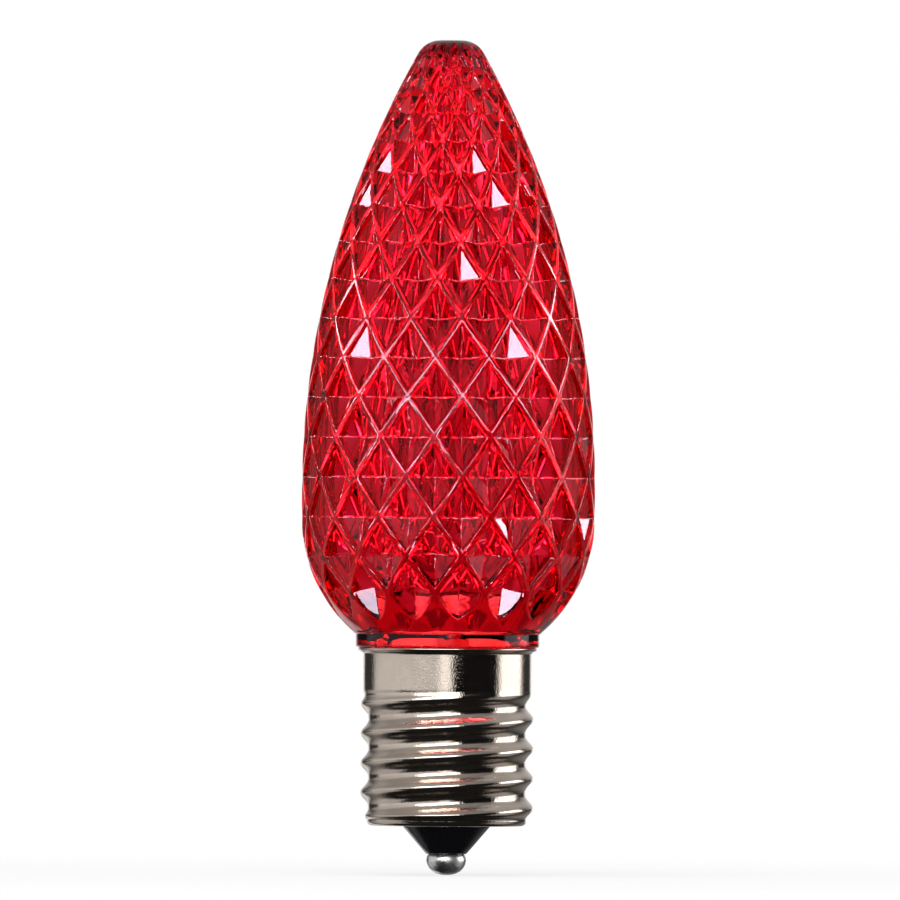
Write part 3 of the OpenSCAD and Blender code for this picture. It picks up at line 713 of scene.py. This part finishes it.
def lamp_package(node):
    """White lamp body with a round yellow window of phosphor in the middle of its top."""
    white, shaded, phosphor = (0.8, 0.79, 0.75), (0.72, 0.71, 0.66), (0.8, 0.62, 0.1)
    window_r, window_edge = 0.6 * MM, 0.05 * MM
    material, tree, shader, place = new_material(node.name + "_package", white, Roughness=0.4)
    corners = np.array([corner[:] for corner in node.bound_box])
    centre, top = corners.mean(axis=0), corners[:, 2].max()
    far = add(tree, "VectorMath", {0: place, 1: (centre[0], centre[1], top)},
              operation="DISTANCE").outputs["Value"]
    window = mask(tree, far, window_r + window_edge, window_r, "LINEAR")
    colour = mix_colour(tree, window, mottled(tree, place, 600, white, shaded), phosphor)
    tree.links.new(colour, shader.inputs["Base Color"])
    specks = grain(tree, place, 3000)
    bump(tree, shader, specks.outputs["Height"], strength=0.25, distance=0.00004)
    return material


RED = red_plastic()
NICKEL = nickel()
BLACK = black_plastic()
SOLDER = soft_solder()
BRASS = moulded("brass", (0.7, 0.5, 0.2), (0.6, 0.42, 0.16), 0.28, Metallic=1.0)
BOARD = moulded("white_mask", (0.82, 0.83, 0.8), (0.74, 0.76, 0.73), 0.35)
EPOXY = moulded("black_epoxy", (0.012, 0.012, 0.013), (0.02, 0.02, 0.021), 0.55)
CERAMIC = moulded("chip_ceramic", (0.015, 0.015, 0.017), (0.03, 0.03, 0.033), 0.4)
SLEEVE = moulded("capacitor_sleeve", (0.01, 0.012, 0.02), (0.02, 0.022, 0.035), 0.3)
RED_WIRE = moulded("red_sleeve", (0.45, 0.01, 0.01), (0.55, 0.02, 0.015), 0.45)
WHITE_WIRE = moulded("white_sleeve", (0.72, 0.7, 0.66), (0.8, 0.78, 0.74), 0.45)

# Pieces that keep their CAD meshes
finishes = {
    "contact_eyelet": BRASS, "circuit_board": BOARD, "bridge_rectifier": EPOXY,
    "resistor_1": CERAMIC, "resistor_2": CERAMIC, "smoothing_capacitor": SLEEVE,
    "live_lead": RED_WIRE, "neutral_lead": WHITE_WIRE, "shell_solder": SOLDER,
}
for number in range(1, 6):
    led_name = "led_%d" % number
    finishes[led_name] = lamp_package(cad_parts[led_name])
for node_name, finish in finishes.items():
    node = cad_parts[node_name]
    node.data.materials.clear()
    node.data.materials.append(finish)

# Pieces that replace theirs
for piece, node_name, slot_name, finish in (
        (lens, "lens", "red_lens", RED), (shell, "screw_shell", "nickel_plate", NICKEL),
        (insulator, "insulator", "black_plastic", BLACK), (tip, "tip_solder", "solder", SOLDER)):
    piece.data.materials.append(finish)
    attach(piece, "root")
    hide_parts(node_name)


# Camera: level, square on, with the slight roll that leans the top to the right
CAMERA_X = 0.12 * MM
CAMERA_Z = 40.48 * MM
CAMERA_D = 2.5
CAMERA_ROLL = math.radians(-0.36)
FRAME_W = PHOTO_SIDE / PIXELS_PER_MM * MM
SENSOR_W = 36
camera_data = bpy.data.cameras.new("camera")
camera = bpy.data.objects.new("camera", camera_data)
bpy.context.scene.collection.objects.link(camera)
camera_data.sensor_width = SENSOR_W
camera_data.lens = SENSOR_W * CAMERA_D / FRAME_W
camera_data.clip_start = 0.05
camera_data.clip_end = 20
camera.location = (CAMERA_X, -CAMERA_D, CAMERA_Z)
camera.rotation_euler = (math.pi / 2, CAMERA_ROLL, 0)
bpy.context.scene.camera = camera


def area_lamp(name, azimuth, elevation, distance, width, height, power, aim_z=0.04,
              colour=(1, 1, 1)):
    """A rectangular lamp that faces the axis at the height aim_z, from an azimuth (0 is the
    camera's side, and it grows to the right) and an elevation in degrees."""
    data = bpy.data.lights.new(name, "AREA")
    data.shape = "RECTANGLE"
    data.size = width
    data.size_y = height
    data.energy = power
    data.color = colour
    lamp = bpy.data.objects.new(name, data)
    bpy.context.scene.collection.objects.link(lamp)
    a, e = math.radians(azimuth), math.radians(elevation)
    out = Vector((math.sin(a) * math.cos(e), -math.cos(a) * math.cos(e), math.sin(e)))
    lamp.location = Vector((0, 0, aim_z)) + out * distance
    lamp.rotation_mode = "QUATERNION"
    lamp.rotation_quaternion = out.to_track_quat("Z", "Y")
    lamp.visible_camera = False
    return lamp


def lit_pieces(name, pieces):
    """A collection of pieces for lamps that light nothing else."""
    group = bpy.data.collections.new(name)
    for piece in pieces:
        group.objects.link(piece)
    return group


lens_only = lit_pieces("lens_only", [lens])
base_only = lit_pieces("base_only", [shell, insulator, tip])
inside_only = lit_pieces("inside_only", [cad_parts[node_name] for node_name in finishes])

GLINT = 42.0              # brightness of the lamps that show as white glints in single cells
SOFT_GLINT = 30.0
EDGE_GLOW = 20.0          # of the lamps that show along the lattice's bands
BASE_GLOW = 3.2           # and of those that show as bands on the metal


def glint_lamp(name, row_z, azimuth, elevation, distance, wide, high, brightness=GLINT,
               receivers=lens_only):
    """A lamp, sized in degrees, that shines in the mirror of its receivers at the height row_z
    in millimetres. Its power is its brightness times pi and its area."""
    width = 2 * distance * math.tan(math.radians(wide / 2))
    height = 2 * distance * math.tan(math.radians(high / 2))
    lamp = area_lamp(name, azimuth, elevation, distance, width, height,
                     brightness * math.pi * width * height, aim_z=row_z * MM)
    lamp.light_linking.receiver_collection = receivers


glint_lamp("upper_lamp", 67.7, -34, 3.3, 0.3, wide=11, high=3.4)
glint_lamp("front_lamp", 64.5, -4.5, 0.5, 0.3, wide=5, high=4)
glint_lamp("far_left_lamp", 64.5, -64, 0.5, 0.3, wide=5, high=4)
glint_lamp("left_lamp", 57.7, -42, -8, 1.5, wide=5, high=4)
glint_lamp("low_left_lamp", 50.4, -33, -17, 1.5, wide=5, high=5)
glint_lamp("low_right_lamp", 50.3, 9, -17.5, 1.5, wide=5, high=5)
glint_lamp("petal_lamp", 26.3, 4, -25.6, 1.5, wide=6, high=6)
glint_lamp("left_petal_lamp", 26.3, -28, -25, 1.5, wide=5, high=6, brightness=SOFT_GLINT)
for turn in range(-100, 101, 40):
    glint_lamp("edge_lamp_%d" % turn, 50, turn, 14, 1.2, wide=36, high=5, brightness=EDGE_GLOW)
glint_lamp("base_lamp", 10, -14, 18, 1.0, wide=56, high=20, brightness=BASE_GLOW,
           receivers=base_only)
glint_lamp("right_base_lamp", 10, 98, 14, 1.0, wide=36, high=14, brightness=BASE_GLOW,
           receivers=base_only)
area_lamp("top_softbox", -20, 70, 0.7, width=0.5, height=0.5, power=2.4).visible_glossy = False

# A small lamp over the board, for the light that the lens passes on to it
neck_fill = area_lamp("neck_fill", 0, 90, 0.0, width=0.009, height=0.009, power=0.004,
                      aim_z=0.034, colour=(1.0, 0.7, 0.5))
neck_fill.light_linking.receiver_collection = inside_only
neck_fill.visible_glossy = neck_fill.visible_transmission = False

# Strips behind the bulb, in the colour that comes out of the red plastic as pale orange
WARM = (24.0, 36.0, 18.0)


def grey(value):
    return (value, value, value)


def studio_world():
    """A white room for the camera, and others for the rays that leave the bulb.

    Mirrored rays see a white background behind the bulb, dark flags beside it, a grey card on
    the left that ends in a white strip at the front, a dark room on the front right and a white
    card on the right. That is in four tiers, low, level, upper and high, and straight below it
    is dark. Rays through the plastic see a duller room, with two warm strips behind the bulb.
    A stop is an azimuth in degrees with a brightness or a colour.
    """
    world = bpy.data.worlds.new("studio")
    bpy.context.scene.world = world
    world.use_nodes = True
    tree = world.node_tree
    tree.nodes.clear()
    axis = add(tree, "SeparateXYZ", {0: add(tree, "TexCoord").outputs["Generated"]})
    height = axis.outputs["Z"]
    back = combine(tree, "MULTIPLY", axis.outputs["Y"], -1.0)
    azimuth = combine(tree, "ARCTAN2", axis.outputs["X"], back)
    turn = mask(tree, azimuth, -math.pi, math.pi, "LINEAR")

    def colour_ramp(stops):
        return ramp(tree, turn, [((degrees + 180) / 360, colour) for degrees, colour in stops])

    def grey_ramp(*stops):
        return colour_ramp([(degrees, grey(value)) for degrees, value in stops])

    level = grey_ramp((-180, 1), (-162, 1), (-156, 0.04), (-124, 0.04), (-116, 0.62),
                      (-60, 0.72), (-12, 0.68), (-9, 1.3), (4, 1.3), (8, 0.005), (74, 0.005),
                      (79, 1.8), (118, 1.8), (126, 0.04), (156, 0.04), (162, 1), (180, 1))
    low = grey_ramp((-180, 0.3), (-170, 0.3), (-167, 0.8), (-157, 0.8), (-153, 0.05),
                    (-118, 0.5), (-76, 0.45), (-64, 0.02), (62, 0.01), (80, 0.35),
                    (108, 0.35), (126, 0.03), (180, 0.3))
    upper = grey_ramp((-180, 0.8), (-150, 0.05), (-118, 0.5), (-46, 0.7), (-42, 1.6), (14, 1.6),
                      (19, 0.01), (74, 0.01), (79, 1.6), (118, 1.6), (126, 0.04), (180, 0.8))
    high = grey_ramp((-180, 0.6), (-120, 0.3), (-40, 0.4), (20, 0.3), (75, 0.2), (90, 0.4),
                     (120, 0.4), (180, 0.6))
    mirrored = mix_colour(tree, mask(tree, height, -0.04, -0.14), level, low)
    mirrored = mix_colour(tree, mask(tree, height, -0.55, -0.75), mirrored, grey(0.01))
    mirrored = mix_colour(tree, mask(tree, height, 0.04, 0.09), mirrored, upper)
    mirrored = mix_colour(tree, mask(tree, height, 0.3, 0.6), mirrored, high)

    behind = grey_ramp((-180, 0.85), (-166, 0.85), (-162, 0.3), (-150, 0.3), (-140, 0.75),
                       (-100, 0.6), (-25, 0.5), (-15, 0.25), (60, 0.25), (75, 0.9), (110, 0.9),
                       (120, 0.3), (146, 0.75), (150, 0.3), (162, 0.3), (166, 0.85),
                       (180, 0.85))
    strips = colour_ramp([
        (-180, grey(0.65)), (-157, grey(0.5)), (-156, WARM), (-148, WARM), (-147, grey(0.6)),
        (147, grey(0.6)), (148, WARM), (156, WARM), (157, grey(0.5)), (180, grey(0.65))])
    steep = add(tree, "Math", {0: height}, operation="ABSOLUTE").outputs["Value"]
    band = combine(tree, "MULTIPLY", mask(tree, height, 0.08, 0.1, "LINEAR"),
                   mask(tree, height, 0.26, 0.24, "LINEAR"))
    through = mix_colour(tree, mask(tree, steep, 0.25, 0.4), behind, grey(0.64))
    through = mix_colour(tree, band, through, strips)

    ray = add(tree, "LightPath")
    room = mix_colour(tree, ray.outputs["Is Glossy Ray"], grey(0.5), mirrored)
    room = mix_colour(tree, ray.outputs["Is Transmission Ray"], room, through)
    final = mix_colour(tree, ray.outputs["Is Camera Ray"], room, grey(1.0))
    background = add(tree, "Background", {"Color": final, "Strength": 1.0})
    output = add(tree, "OutputWorld")
    tree.links.new(background.outputs["Background"], output.inputs["Surface"])


studio_world()

FLOOR_RADII = (20, 50, 100, 160)
FLOOR_Z = -0.02
FADE_FROM = 24 * MM       # distances at which the floor starts to fade, and is gone
FADE_TO = 128 * MM
FLOOR_WHITE = 0.8         # share of plain white in what the camera sees of the floor


def pale_floor():
    """A round floor that fades into the white background towards its edge. Mirrored rays and
    shadow rays pass through it."""
    sides = 64
    a = np.arange(sides) * 2 * math.pi / sides
    points = turned(np.array(FLOOR_RADII)[:, None], a[None, :], FLOOR_Z).reshape(-1, 3)
    points = np.concatenate([points, [[0, 0, FLOOR_Z]]])
    quads = ring_quads(len(FLOOR_RADII), sides)[:, ::-1]
    fan = closing_fan(0, sides, len(points) - 1)
    floor = new_mesh("floor", points, quads.tolist() + fan.tolist(), False)
    material = bpy.data.materials.new("pale_floor")
    material.use_nodes = True
    tree = material.node_tree
    tree.nodes.clear()
    place = add(tree, "TexCoord").outputs["Object"]
    far = add(tree, "VectorMath", {0: place}, operation="LENGTH").outputs["Value"]
    ray = add(tree, "LightPath")
    gone = combine(tree, "MAXIMUM", mask(tree, far, FADE_FROM, FADE_TO),
                   ray.outputs["Is Glossy Ray"])
    gone = combine(tree, "MAXIMUM", gone, ray.outputs["Is Shadow Ray"])
    shade = mix_colour(tree, ray.outputs["Is Camera Ray"], grey(0.88), grey(0.98))
    matt = add(tree, "BsdfDiffuse", {"Color": shade})
    white = add(tree, "Emission", {"Strength": ray.outputs["Is Camera Ray"]})
    white_share = combine(tree, "MULTIPLY", ray.outputs["Is Camera Ray"], FLOOR_WHITE)
    surface = add(tree, "MixShader", {0: white_share, 1: matt.outputs["BSDF"],
                                      2: white.outputs["Emission"]})
    clear = add(tree, "BsdfTransparent")
    both = add(tree, "MixShader", {0: gone, 1: surface.outputs["Shader"],
                                   2: clear.outputs["BSDF"]})
    output = add(tree, "OutputMaterial")
    tree.links.new(both.outputs["Shader"], output.inputs["Surface"])
    floor.data.materials.append(material)


pale_floor()
bpy.context.scene.view_settings.view_transform = "Standard"
